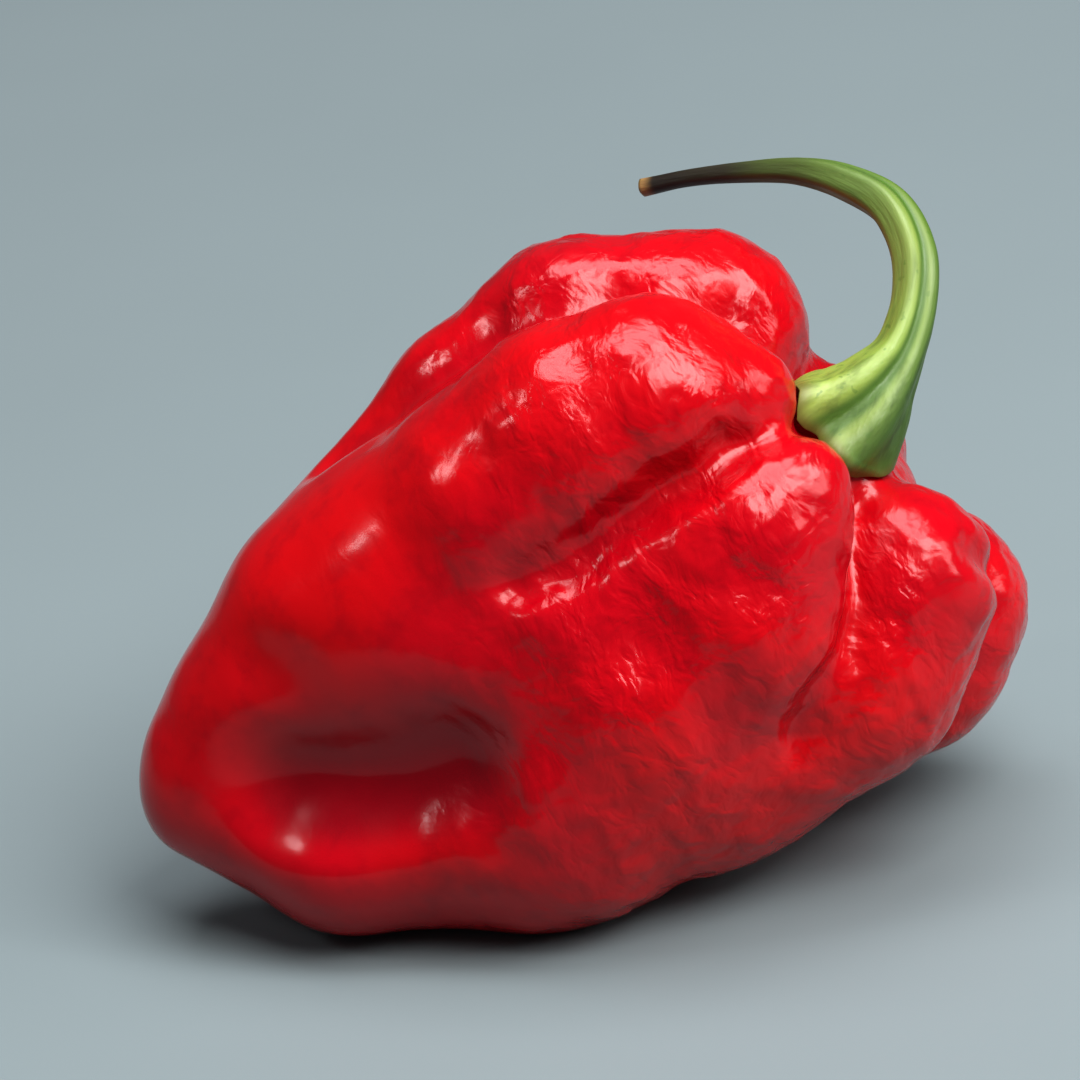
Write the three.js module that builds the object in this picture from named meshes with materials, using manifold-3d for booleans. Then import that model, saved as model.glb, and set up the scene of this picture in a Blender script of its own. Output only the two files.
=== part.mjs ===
// A red chilli pepper of the small lobed kind, lying on its side as it was picked.
// Millimetres, +Z up. +X runs from the blossom tip to the stem end and -Y is the side with the deep dent.
// The origin lies on the flat spot that the pod rests on.

import * as THREE from 'three';
import { mergeVertices } from 'three/addons/utils/BufferGeometryUtils.js';
import Module from 'manifold-3d';

const POD_SUBDIVISIONS = 22; // icosahedron subdivisions of the pod's skin
const STEM_RINGS = 56; // rings along the stem
const STEM_SIDES = 20; // corners round the stem
const SEAT_GAP = 0.3; // clearance between the calyx and the skin
const STEM_RIBS = 5; // lengthwise ribs on the stem and the calyx
const RIB_HEIGHT = 0.07; // rib height as a share of the stem's radius
const FURROW_START = 32; // degrees round the calyx rim where the deep furrow starts
const FURROW_END = 56; // degrees round the stalk where it runs on
const FURROW_TURN = 9; // length of calyx over which it turns from one to the other
const FURROW_DEPTH = 0.2; // furrow depth as a share of the stem's radius
const FURROW_WIDTH = 17; // degrees

// The pod swells out in lobes. Each is a chain of round stations, x, y, z and radius.
const LOBES = {
  upperFront: [
    [10.0, -2.1, 28.9, 3.5], [5.3, -1.9, 29.4, 6.0], [0.8, -1.5, 27.4, 7.0], [-3.6, -1.1, 24.0, 7.4],
    [-14.0, 1.0, 17.4, 6.7], [-22.2, 0.4, 10.8, 4.0],
  ],
  upperBack: [
    [8.8, 8.3, 28.4, 6.5], [2.0, 8.5, 28.6, 6.6], [-4.0, 7.8, 25.4, 6.1], [-10.0, 6.0, 21.6, 5.0],
  ],
  front: [
    [12.9, -6.5, 25.1, 2.8], [10.1, -6.1, 22.6, 5.4], [8.5, -6.7, 17.6, 6.6], [2.8, -5.5, 13.6, 8.4],
    [-2.5, -4.8, 8.4, 8.7],
  ],
  frontInner: [[6.9, -5.6, 21.0, 5.8], [1.8, -4.7, 18.2, 6.2], [-2.7, -4.1, 16.0, 6.4]],
  cheek: [[-9.1, -0.8, 17.0, 7.6], [-13.8, -0.3, 15.0, 6.8], [-18.8, 0.4, 12.4, 5.0]],
  lowerFront: [[18.1, -3.4, 16.7, 5.6], [14.5, -4.2, 12.4, 6.5], [5.6, -3.8, 9.4, 8.2]],
  lowerMid: [[15.5, -1.6, 17.8, 5.2], [14.3, -3.4, 13.8, 5.6]],
  lowerBack: [[19.7, 3.0, 11.8, 6.0], [17.6, 2.8, 10.2, 6.7], [10.0, 4.0, 7.8, 7.9]],
  belly: [[10.0, 4.0, 7.8, 7.9], [0.8, 0.6, 8.3, 8.5], [-8.0, 3.0, 8.6, 8.6]],
  back: [[13.2, 8.5, 19.8, 6.8], [6.0, 8.0, 16.0, 8.5], [-4.0, 6.0, 13.0, 9.0]],
  lip: [[-6.1, -4.0, 7.2, 7.5], [-15.1, -3.1, 6.5, 6.3], [-23.4, -0.4, 8.0, 3.5]],
  hubUpper: [[8.0, 0.5, 19.0, 8.0], [13.4, 0.6, 22.1, 4.9], [14.4, -0.8, 24.0, 2.7]],
  hubLower: [[8.0, 1.5, 17.0, 9.0], [15.4, 3.4, 18.4, 4.8]],
  backLow: [[6.0, 5.0, 12.0, 9.0], [15.6, 6.8, 12.0, 5.0]],
  core: [[3.0, 1.0, 16.0, 12.0], [-8.0, 2.0, 15.5, 11.0]],
};

// Grooves and dents pressed into the smooth skin: width, depth and the line that each follows.
// A negative depth raises a bump.
const FOLDS = {
  dent: [2.8, 2.9, [[-18.2, -7.1, 10.9], [-15.1, -8.3, 10.8], [-11.9, -9.1, 11.2], [-9.2, -10.1, 12.3]]],
  dentUpper: [3.2, 0.7, [[-15.4, -7.8, 14.4], [-11.9, -8.8, 14.9]]],
  dentSmall: [2.4, 0.7, [[-19.0, -5.0, 18.6], [-17.6, -6.2, 18.2]]],
  dentEdge: [1.6, 0.5, [[-7.1, -10.5, 14.0], [-7.1, -11.7, 11.7], [-7.2, -12.4, 8.9]]],
  valley: [1.2, 1.4, [
    [10.3, -6.6, 28.5], [7.8, -8.3, 27.5], [5.1, -8.2, 26.8], [2.5, -8.6, 25.5], [-0.5, -9.1, 23.6],
    [-3.6, -9.0, 23.0],
  ]],
  topGroove: [1.4, 1.3, [
    [12.5, 1.5, 31.0], [10.7, 2.6, 32.4], [8.2, 2.6, 33.2], [6.3, 2.6, 33.6], [3.7, 4.0, 33.2],
    [0.5, 4.4, 32.4], [-2.9, 6.0, 30.7], [-6.2, 5.8, 29.0], [-9.2, 5.6, 27.4], [-12.9, 5.2, 25.3],
  ]],
  rightGroove: [1.0, 1.0, [
    [15.9, -4.7, 22.6], [15.9, -6.4, 21.5], [15.6, -7.7, 20.0], [15.1, -9.1, 18.1], [13.9, -10.8, 16.1],
    [12.0, -11.9, 14.7], [10.8, -11.4, 11.8],
  ]],
  edgeGroove: [1.1, 0.8, [
    [22.1, -6.2, 19.3], [22.9, -1.9, 14.9], [22.7, -2.4, 12.6], [21.2, -3.0, 9.4], [18.9, -3.5, 7.0],
    [15.3, -3.9, 5.2],
  ]],
  knob: [0.9, -0.9, [[10.4, -6.2, 28.9]]],
  pitNear: [0.9, 0.6, [[11.1, 4.2, 32.9]]],
  pitFar: [0.9, 0.6, [[12.1, 3.5, 31.3]]],
  bellyDentUpper: [2.2, 0.5, [[2.6, -12.4, 19.3]]],
  bellyDentLower: [2.4, 0.4, [[6.5, -13.6, 14.9]]],
  bump: [1.8, -0.5, [[-2.9, -10.0, 20.9]]],
  backGrooveUpper: [1.4, 1.5, [
    [15.5, 10.0, 23.6], [11.0, 14.0, 23.4], [5.0, 16.0, 22.0], [-2.0, 14.5, 20.0], [-8.0, 13.0, 17.6],
  ]],
  backGrooveLower: [1.3, 1.3, [
    [18.0, 10.0, 13.0], [14.0, 11.5, 11.6], [9.0, 12.8, 10.4], [4.0, 13.6, 9.0],
  ]],
  backDent: [3.4, 1.6, [[-12.0, 11.0, 12.0], [-16.5, 8.5, 12.0]]],
};

// Rays that find the skin start on this short axis inside the pod.
const CORE = [-1.0, 0.5, 16.0];
const CORE_AXIS = new THREE.Vector3(0.93, -0.05, 0.36).normalize().toArray();
const CORE_REACH = 9.0;

// Middle line of the stem, from inside the calyx to the cut end.
const STEM_LINE = [
  [14.0, -0.9, 23.9], [15.6, -0.7, 25.5], [17.2, -0.6, 26.8], [18.3, -0.3, 27.8], [19.8, 0.5, 29.3],
  [21.1, 2.4, 31.4], [21.5, 4.6, 33.5], [20.6, 7.2, 35.4], [18.4, 9.7, 36.3], [15.9, 12.2, 36.4],
  [12.6, 14.8, 35.8], [9.8, 16.8, 35.1], [7.1, 18.6, 34.2],
];
// Distance along the stem and its radius there: calyx cup, rim, flare, stalk and cut end.
const STEM_RADII = [
  [0, 3], [1.2, 3.5], [2, 3.75], [2.7, 3.65], [4.6, 2.85], [6.3, 2.1], [8.2, 1.5], [10, 1.36],
  [14, 1.3], [18, 1.2], [21, 1.05], [25, 0.8], [29, 0.62], [33, 0.52], [37, 0.56],
];
const STEM_SIDE = new THREE.Vector3(-0.5, -0.36, 0.79).normalize(); // square to the plane of the stem's bend

function smoothMin(a, b, k) {
  const h = THREE.MathUtils.clamp(0.5 + (0.5 * (b - a)) / k, 0, 1);
  return b + (a - b) * h - k * h * (1 - h);
}

// Signed distance from a point to a cone with round ends.
function roundCone(p, a, b) {
  const bx = b[0] - a[0];
  const by = b[1] - a[1];
  const bz = b[2] - a[2];
  const l2 = bx * bx + by * by + bz * bz;
  const rr = a[3] - b[3];
  const a2 = l2 - rr * rr;
  const px = p[0] - a[0];
  const py = p[1] - a[1];
  const pz = p[2] - a[2];
  const y = px * bx + py * by + pz * bz;
  const z = y - l2;
  const qx = px * l2 - bx * y;
  const qy = py * l2 - by * y;
  const qz = pz * l2 - bz * y;
  const x2 = qx * qx + qy * qy + qz * qz;
  const y2 = y * y * l2;
  const z2 = z * z * l2;
  const k = Math.sign(rr) * rr * rr * x2;
  if (Math.sign(z) * a2 * z2 > k) return Math.sqrt(x2 + z2) / l2 - b[3];
  if (Math.sign(y) * a2 * y2 < k) return Math.sqrt(x2 + y2) / l2 - a[3];
  return (Math.sqrt((x2 * a2) / l2) + y * rr) / l2 - a[3];
}

// Lobes blend softly at the blossom end and meet in sharper clefts round the stem.
function blendAt(x) {
  if (x < 0) return THREE.MathUtils.mapLinear(Math.max(x, -20), -20, 0, 3.0, 2.3);
  return THREE.MathUtils.mapLinear(Math.min(x, 14), 0, 14, 2.3, 1.2);
}

function lobeField(p) {
  const blend = blendAt(p[0]);
  let field = Infinity;
  for (const stations of Object.values(LOBES)) {
    let lobe = Infinity;
    for (let i = 1; i < stations.length; i++) {
      const cone = roundCone(p, stations[i - 1], stations[i]);
      lobe = lobe === Infinity ? cone : smoothMin(lobe, cone, 1);
    }
    field = field === Infinity ? lobe : smoothMin(field, lobe, blend);
  }
  return field;
}

// Moves a point along the field's slope until it lies on the smooth skin.
function settle(point) {
  const p = [...point];
  const step = 0.05;
  for (let round = 0; round < 6; round++) {
    const slope = [0, 1, 2].map((axis) => {
      const ahead = [...p];
      const behind = [...p];
      ahead[axis] += step;
      behind[axis] -= step;
      return (lobeField(ahead) - lobeField(behind)) / (2 * step);
    });
    const steepness = Math.max(slope[0] ** 2 + slope[1] ** 2 + slope[2] ** 2, 0.1);
    const move = lobeField(p) / steepness;
    for (let axis = 0; axis < 3; axis++) p[axis] -= slope[axis] * move;
  }
  return p;
}

const foldLines = Object.values(FOLDS).map(([width, depth, points]) => ({
  width,
  depth,
  points: points.map(settle),
}));

function distanceSquared(p, a, b) {
  const ab = [b[0] - a[0], b[1] - a[1], b[2] - a[2]];
  const ap = [p[0] - a[0], p[1] - a[1], p[2] - a[2]];
  const length2 = Math.max(ab[0] ** 2 + ab[1] ** 2 + ab[2] ** 2, 1e-9);
  const h = THREE.MathUtils.clamp((ap[0] * ab[0] + ap[1] * ab[1] + ap[2] * ab[2]) / length2, 0, 1);
  return (ap[0] - h * ab[0]) ** 2 + (ap[1] - h * ab[1]) ** 2 + (ap[2] - h * ab[2]) ** 2;
}

// Below zero inside the pod. The plane z = 0 presses the flat rest spot.
function podField(p) {
  let field = lobeField(p);
  for (const { width, depth, points } of foldLines) {
    let nearest = Infinity;
    for (let i = 0; i < points.length; i++) {
      nearest = Math.min(nearest, distanceSquared(p, points[Math.max(i - 1, 0)], points[i]));
    }
    field += depth * Math.exp(-nearest / (width * width));
  }
  return Math.max(field, -p[2]);
}

// Walks in along a ray to the skin, or to the surface that lies a little outside it.
function skinPoint(direction, level) {
  const shift = CORE_REACH * (direction[0] * CORE_AXIS[0] + direction[1] * CORE_AXIS[1] + direction[2] * CORE_AXIS[2]);
  const at = (t) => direction.map((d, axis) => CORE[axis] + CORE_AXIS[axis] * shift + d * t);
  const field = (t) => podField(at(t)) - level;
  let t = 32;
  let value = field(t);
  while (value > 0.02) {
    t -= value * 0.75;
    value = field(t);
  }
  let inner = t - 0.3;
  let outer = t + 0.3;
  for (let i = 0; i < 10; i++) {
    const middle = (inner + outer) / 2;
    if (field(middle) < 0) inner = middle;
    else outer = middle;
  }
  const point = at((inner + outer) / 2);
  if (Math.abs(point[2] + level) < 0.01) point[2] = -level;
  return point;
}

function podGeometry(level) {
  const geometry = new THREE.IcosahedronGeometry(1, POD_SUBDIVISIONS);
  geometry.deleteAttribute('normal');
  geometry.deleteAttribute('uv');
  const merged = mergeVertices(geometry, 1e-5);
  const position = merged.getAttribute('position');
  for (let i = 0; i < position.count; i++) {
    const direction = new THREE.Vector3().fromBufferAttribute(position, i).normalize().toArray();
    position.setXYZ(i, ...skinPoint(direction, level));
  }
  merged.computeVertexNormals();
  return merged;
}

// Ribs run up the stem, with one deep furrow between two of them. They fade into the cut end.
function ribFactor(angle, distance, length) {
  const fade = THREE.MathUtils.mapLinear(distance, 0, length, 1.0, 0.35);
  const turned = THREE.MathUtils.smoothstep(distance, 0, FURROW_TURN);
  const furrow = THREE.MathUtils.degToRad(THREE.MathUtils.lerp(FURROW_START, FURROW_END, turned));
  const turn = Math.atan2(Math.sin(angle - furrow), Math.cos(angle - furrow));
  const ribs = -RIB_HEIGHT * Math.cos(STEM_RIBS * turn);
  const cut = -FURROW_DEPTH * Math.exp(-((turn / THREE.MathUtils.degToRad(FURROW_WIDTH)) ** 2));
  return 1 + fade * (ribs + cut);
}

function stemGeometry() {
  const line = new THREE.CatmullRomCurve3(STEM_LINE.map((point) => new THREE.Vector3(...point)), false, 'centripetal');
  line.arcLengthDivisions = 800;
  const length = line.getLength();
  const radii = new THREE.CubicInterpolant(
    STEM_RADII.map(([distance]) => distance),
    STEM_RADII.map(([, radius]) => radius),
    1,
  );
  const geometry = new THREE.CylinderGeometry(1, 1, 1, STEM_SIDES, STEM_RINGS, false);
  geometry.deleteAttribute('normal');
  geometry.deleteAttribute('uv');
  const merged = mergeVertices(geometry, 1e-5);
  const position = merged.getAttribute('position');
  for (let i = 0; i < position.count; i++) {
    const ring = position.getY(i) + 0.5;
    const along = 0.42 * ring + 0.58 * ring * ring;
    const centre = line.getPointAt(along);
    const tangent = line.getTangentAt(along);
    const first = STEM_SIDE.clone().addScaledVector(tangent, -STEM_SIDE.dot(tangent)).normalize();
    const second = new THREE.Vector3().crossVectors(tangent, first);
    const angle = Math.atan2(position.getX(i), position.getZ(i));
    const reach = Math.hypot(position.getX(i), position.getZ(i));
    const radius = reach * radii.evaluate(along * length)[0] * ribFactor(angle, along * length, length);
    centre.addScaledVector(first, radius * Math.cos(angle));
    centre.addScaledVector(second, radius * Math.sin(angle));
    position.setXYZ(i, centre.x, centre.y, centre.z);
  }
  return merged;
}

const wasm = await Module();
wasm.setup();

function toManifold(geometry) {
  return new wasm.Manifold(new wasm.Mesh({
    numProp: 3,
    vertProperties: new Float32Array(geometry.getAttribute('position').array),
    triVerts: new Uint32Array(geometry.index.array),
  }));
}

function toGeometry(manifold) {
  const mesh = manifold.getMesh();
  const geometry = new THREE.BufferGeometry();
  geometry.setAttribute('position', new THREE.BufferAttribute(mesh.vertProperties, 3));
  geometry.setIndex(new THREE.BufferAttribute(mesh.triVerts, 1));
  geometry.computeVertexNormals();
  return geometry;
}

// The calyx is cut to the skin that it sits on, a little clear of it.
const stemCut = toManifold(stemGeometry()).subtract(toManifold(podGeometry(SEAT_GAP)));

const pod = new THREE.Mesh(
  podGeometry(0),
  new THREE.MeshStandardMaterial({ color: 0xc40a14, roughness: 0.22, metalness: 0 }),
);
pod.name = 'pod';

const stem = new THREE.Mesh(
  toGeometry(stemCut),
  new THREE.MeshStandardMaterial({ color: 0x7da03a, roughness: 0.5, metalness: 0 }),
);
stem.name = 'stem';

const pepper = new THREE.Group();
pepper.name = 'chilli_pepper';
pepper.add(pod, stem);

export default pepper;
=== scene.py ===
"""A red chilli pepper: wrinkled skin, calyx and ribbed stem, with a floor, lights and a camera."""

import math

import bpy
import numpy as np
from mathutils import Matrix, Vector


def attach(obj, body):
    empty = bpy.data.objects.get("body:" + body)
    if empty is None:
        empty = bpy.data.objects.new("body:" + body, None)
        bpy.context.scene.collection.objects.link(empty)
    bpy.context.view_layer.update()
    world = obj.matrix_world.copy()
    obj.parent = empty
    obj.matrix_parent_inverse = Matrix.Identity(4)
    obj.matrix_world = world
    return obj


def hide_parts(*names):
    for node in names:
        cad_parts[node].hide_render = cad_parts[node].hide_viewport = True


bl_info = {
    "name": "Chilli Pepper",
    "version": (1, 0, 0),
    "blender": (4, 5, 0),
    "location": "View3D > Sidebar > Pepper",
    "description": "Makes a lobed red chilli pepper with its calyx and stem",
    "category": "Object",
}

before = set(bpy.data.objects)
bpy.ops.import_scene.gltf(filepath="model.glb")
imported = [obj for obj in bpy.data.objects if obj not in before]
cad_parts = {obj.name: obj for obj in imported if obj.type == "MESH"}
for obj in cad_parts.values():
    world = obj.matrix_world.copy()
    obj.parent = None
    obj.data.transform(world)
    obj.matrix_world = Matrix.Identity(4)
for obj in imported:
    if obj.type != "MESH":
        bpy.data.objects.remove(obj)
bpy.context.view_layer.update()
MM = 0.001

# The pod swells out in lobes. Each is a chain of round stations: x, y, z and radius in millimetres.
LOBES = {
    "upper_front": [
        (10.0, -2.1, 28.9, 3.5), (5.3, -1.9, 29.4, 6.0), (0.8, -1.5, 27.4, 7.0), (-3.6, -1.1, 24.0, 7.4),
        (-14.0, 1.0, 17.4, 6.7), (-22.2, 0.4, 10.8, 4.0),
    ],
    "upper_back": [
        (8.8, 8.3, 28.4, 6.5), (2.0, 8.5, 28.6, 6.6), (-4.0, 7.8, 25.4, 6.1), (-10.0, 6.0, 21.6, 5.0),
    ],
    "front": [
        (12.9, -6.5, 25.1, 2.8), (10.1, -6.1, 22.6, 5.4), (8.5, -6.7, 17.6, 6.6), (2.8, -5.5, 13.6, 8.4),
        (-2.5, -4.8, 8.4, 8.7),
    ],
    "front_inner": [(6.9, -5.6, 21.0, 5.8), (1.8, -4.7, 18.2, 6.2), (-2.7, -4.1, 16.0, 6.4)],
    "cheek": [(-9.1, -0.8, 17.0, 7.6), (-13.8, -0.3, 15.0, 6.8), (-18.8, 0.4, 12.4, 5.0)],
    "lower_front": [(18.1, -3.4, 16.7, 5.6), (14.5, -4.2, 12.4, 6.5), (5.6, -3.8, 9.4, 8.2)],
    "lower_mid": [(15.5, -1.6, 17.8, 5.2), (14.3, -3.4, 13.8, 5.6)],
    "lower_back": [(19.7, 3.0, 11.8, 6.0), (17.6, 2.8, 10.2, 6.7), (10.0, 4.0, 7.8, 7.9)],
    "belly": [(10.0, 4.0, 7.8, 7.9), (0.8, 0.6, 8.3, 8.5), (-8.0, 3.0, 8.6, 8.6)],
    "back": [(13.2, 8.5, 19.8, 6.8), (6.0, 8.0, 16.0, 8.5), (-4.0, 6.0, 13.0, 9.0)],
    "lip": [(-6.1, -4.0, 7.2, 7.5), (-15.1, -3.1, 6.5, 6.3), (-23.4, -0.4, 8.0, 3.5)],
    "hub_upper": [(8.0, 0.5, 19.0, 8.0), (13.4, 0.6, 22.1, 4.9), (14.4, -0.8, 24.0, 2.7)],
    "hub_lower": [(8.0, 1.5, 17.0, 9.0), (15.4, 3.4, 18.4, 4.8)],
    "back_low": [(6.0, 5.0, 12.0, 9.0), (15.6, 6.8, 12.0, 5.0)],
    "core": [(3.0, 1.0, 16.0, 12.0), (-8.0, 2.0, 15.5, 11.0)],
}

# Grooves and dents pressed into the smooth skin: width, depth and the line that each follows.
# A negative depth raises a bump.
FOLDS = {
    "dent": (2.8, 2.9, [
        (-18.2, -7.1, 10.9), (-15.1, -8.3, 10.8), (-11.9, -9.1, 11.2), (-9.2, -10.1, 12.3),
    ]),
    "dent_upper": (3.2, 0.7, [(-15.4, -7.8, 14.4), (-11.9, -8.8, 14.9)]),
    "dent_small": (2.4, 0.7, [(-19.0, -5.0, 18.6), (-17.6, -6.2, 18.2)]),
    "dent_edge": (1.6, 0.5, [(-7.1, -10.5, 14.0), (-7.1, -11.7, 11.7), (-7.2, -12.4, 8.9)]),
    "valley": (1.2, 1.4, [
        (10.3, -6.6, 28.5), (7.8, -8.3, 27.5), (5.1, -8.2, 26.8), (2.5, -8.6, 25.5), (-0.5, -9.1, 23.6),
        (-3.6, -9.0, 23.0),
    ]),
    "top_groove": (1.4, 1.3, [
        (12.5, 1.5, 31.0), (10.7, 2.6, 32.4), (8.2, 2.6, 33.2), (6.3, 2.6, 33.6), (3.7, 4.0, 33.2),
        (0.5, 4.4, 32.4), (-2.9, 6.0, 30.7), (-6.2, 5.8, 29.0), (-9.2, 5.6, 27.4), (-12.9, 5.2, 25.3),
    ]),
    "right_groove": (1.0, 1.0, [
        (15.9, -4.7, 22.6), (15.9, -6.4, 21.5), (15.6, -7.7, 20.0), (15.1, -9.1, 18.1),
        (13.9, -10.8, 16.1), (12.0, -11.9, 14.7), (10.8, -11.4, 11.8),
    ]),
    "edge_groove": (1.1, 0.8, [
        (22.1, -6.2, 19.3), (22.9, -1.9, 14.9), (22.7, -2.4, 12.6), (21.2, -3.0, 9.4), (18.9, -3.5, 7.0),
        (15.3, -3.9, 5.2),
    ]),
    "knob": (0.9, -0.9, [(10.4, -6.2, 28.9)]),
    "pit_near": (0.9, 0.6, [(11.1, 4.2, 32.9)]),
    "pit_far": (0.9, 0.6, [(12.1, 3.5, 31.3)]),
    "belly_dent_upper": (2.2, 0.5, [(2.6, -12.4, 19.3)]),
    "belly_dent_lower": (2.4, 0.4, [(6.5, -13.6, 14.9)]),
    "bump": (1.8, -0.5, [(-2.9, -10.0, 20.9)]),
    "back_groove_upper": (1.4, 1.5, [
        (15.5, 10.0, 23.6), (11.0, 14.0, 23.4), (5.0, 16.0, 22.0), (-2.0, 14.5, 20.0), (-8.0, 13.0, 17.6),
    ]),
    "back_groove_lower": (1.3, 1.3, [
        (18.0, 10.0, 13.0), (14.0, 11.5, 11.6), (9.0, 12.8, 10.4), (4.0, 13.6, 9.0),
    ]),
    "back_dent": (3.4, 1.6, [(-12.0, 11.0, 12.0), (-16.5, 8.5, 12.0)]),
}

# Rays that find the skin start on this short axis inside the pod
CORE = np.array([-1.0, 0.5, 16.0])
CORE_AXIS = np.array([0.93, -0.05, 0.36]) / np.linalg.norm([0.93, -0.05, 0.36])
CORE_REACH = 9.0
RAY_LENGTH = 32.0  # from there to well outside the skin
RAY_BRACKET = 0.3  # to each side of where the walk inwards ends

# Width of the rounded joins between the lobes, from the blossom end to the shoulder
JOIN_PLACES = [-20, 0, 14]
JOIN_WIDTHS = [3.0, 2.3, 1.2]

# Middle line of the stem in millimetres, from inside the calyx to the cut end
STEM_LINE = [
    (14.0, -0.9, 23.9), (15.6, -0.7, 25.5), (17.2, -0.6, 26.8), (18.3, -0.3, 27.8), (19.8, 0.5, 29.3),
    (21.1, 2.4, 31.4), (21.5, 4.6, 33.5), (20.6, 7.2, 35.4), (18.4, 9.7, 36.3), (15.9, 12.2, 36.4),
    (12.6, 14.8, 35.8), (9.8, 16.8, 35.1), (7.1, 18.6, 34.2),
]
# Distance along the stem and its radius there: calyx cup, rim, flare, stalk and cut end
STEM_RADII = [
    (0, 3), (1.2, 3.5), (2, 3.75), (2.7, 3.65), (4.6, 2.85), (6.3, 2.1), (8.2, 1.5), (10, 1.36),
    (14, 1.3), (18, 1.2), (21, 1.05), (25, 0.8), (29, 0.62), (33, 0.52), (37, 0.56),
]
STEM_SIDE = (-0.5, -0.36, 0.79)  # square to the plane of the stem's bend
STEM_RINGS = 320
STEM_SIDES = 96
STEM_GAP = 0.2  # millimetres between the calyx and the pod
STEM_GRAIN = 1600.0  # noise cells per metre in the fine lengthwise grain
RING_EVENNESS = 0.42  # 1 would space the rings evenly, less crowds them on the calyx

# The calyx rim, in millimetres and in rows of the stem's mesh
RIM_UNEVENNESS = 2.2  # rows
RIM_FLARE = 0.8  # at most, towards a lobe
RIM_OPEN_FLARE = 0.08  # where no lobe is near
RIM_CLEARANCE = 0.12
RIM_STEP = 0.04
RIM_ROWS = 26  # that bend with it

POD_SEED = 3
STEM_SEED = 5

POD_AXIS = (0.92, 0.0, 0.39)  # from the blossom tip to the calyx
POD_RISE = (-0.39, 0.0, 0.92)  # square to it, towards the crown

FLOOR_REACH = 1500  # millimetres from the middle to each side
# Each light's place and size in metres, its power in watts and its colour
LIGHTS = {
    "key_light": ((0.25, -0.24, 0.52), (0.46, 0.38), 6.7, (1.0, 0.99, 0.98)),
    "side_light": ((0.48, -0.14, 0.28), (0.28, 0.26), 1.3, (1.0, 0.99, 0.98)),
    "left_light": ((-0.36, -0.05, 0.36), (0.055, 0.08), 0.24, (1.0, 0.99, 0.98)),
    "top_light": ((0.02, 0.08, 0.62), (0.44, 0.36), 3.9, (0.97, 0.98, 1.0)),
}
LIT_SPOT = (0, 0, 0.015)
SKY_COLOUR = (0.76, 0.84, 0.92, 1)
SKY_STRENGTH = 0.12
PICTURE_MIDDLE = (-0.002, -0.0096, 0.0256)
PICTURE_GAMMA = 0.86


# Distance fields of the smooth pod and its folds

def smooth_min(a, b, k):
    """The lower of two distances, with a rounded join k wide."""
    h = np.clip(0.5 + 0.5 * (b - a) / k, 0.0, 1.0)
    return b + (a - b) * h - k * h * (1.0 - h)


def round_cone(p, a, b):
    """Signed distance to a cone with round ends, each given as x, y, z and radius."""
    start, end = np.array(a[:3]), np.array(b[:3])
    axis = end - start
    length2 = axis @ axis
    taper = a[3] - b[3]
    slant2 = length2 - taper * taper
    offset = p - start
    along = offset @ axis
    beyond = along - length2
    across2 = ((offset * length2 - along[:, None] * axis) ** 2).sum(1)
    along2 = along * along * length2
    beyond2 = beyond * beyond * length2
    lean = np.sign(taper) * taper * taper * across2
    past_end = np.sqrt(across2 + beyond2) / length2 - b[3]
    before_start = np.sqrt(across2 + along2) / length2 - a[3]
    side = (np.sqrt(np.maximum(across2 * slant2 / length2, 0)) + along * taper) / length2 - a[3]
    side_or_start = np.where(np.sign(along) * slant2 * along2 < lean, before_start, side)
    return np.where(np.sign(beyond) * slant2 * beyond2 > lean, past_end, side_or_start)


def lobe_field(p):
    """Below zero inside the smooth pod."""
    blend = np.interp(p[:, 0], JOIN_PLACES, JOIN_WIDTHS)
    field = None
    for stations in LOBES.values():
        lobe = None
        for a, b in zip(stations[:-1], stations[1:]):
            cone = round_cone(p, a, b)
            lobe = cone if lobe is None else smooth_min(lobe, cone, 1.0)
        field = lobe if field is None else smooth_min(field, lobe, blend)
    return field


def settle(points):
    """Moves points along the field's slope until they lie on the smooth skin."""
    p = np.array(points, float)
    step = 0.05
    for _ in range(6):
        slope = np.stack(
            [(lobe_field(p + step * e) - lobe_field(p - step * e)) / (2 * step) for e in np.eye(3)], 1
        )
        p -= slope * (lobe_field(p) / np.maximum((slope * slope).sum(1), 0.1))[:, None]
    return p


FOLD_LINES = {name: (width, depth, settle(points)) for name, (width, depth, points) in FOLDS.items()}


def line_distance_squared(p, points):
    """Squared distance from each place to a line of straight pieces, or to one point."""
    nearest = None
    starts = points[:-1] if len(points) > 1 else points
    ends = points[1:] if len(points) > 1 else points
    for a, b in zip(starts, ends):
        ab = b - a
        h = np.clip(((p - a) @ ab) / max(ab @ ab, 1e-9), 0, 1)
        d2 = ((p - a - h[:, None] * ab) ** 2).sum(1)
        nearest = d2 if nearest is None else np.minimum(nearest, d2)
    return nearest


def fold_press(p):
    """How far the folds press the skin in at each point."""
    press = np.zeros(len(p))
    for width, depth, points in FOLD_LINES.values():
        margin = 3.2 * width
        near = np.all((p > points.min(0) - margin) & (p < points.max(0) + margin), axis=1)
        if near.any():
            press[near] += depth * np.exp(-line_distance_squared(p[near], points) / width**2)
    return press


def pod_field(p):
    """Below zero inside the pod with its folds and its flat spot."""
    return np.maximum(lobe_field(p) + fold_press(p), -p[:, 2])


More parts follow.
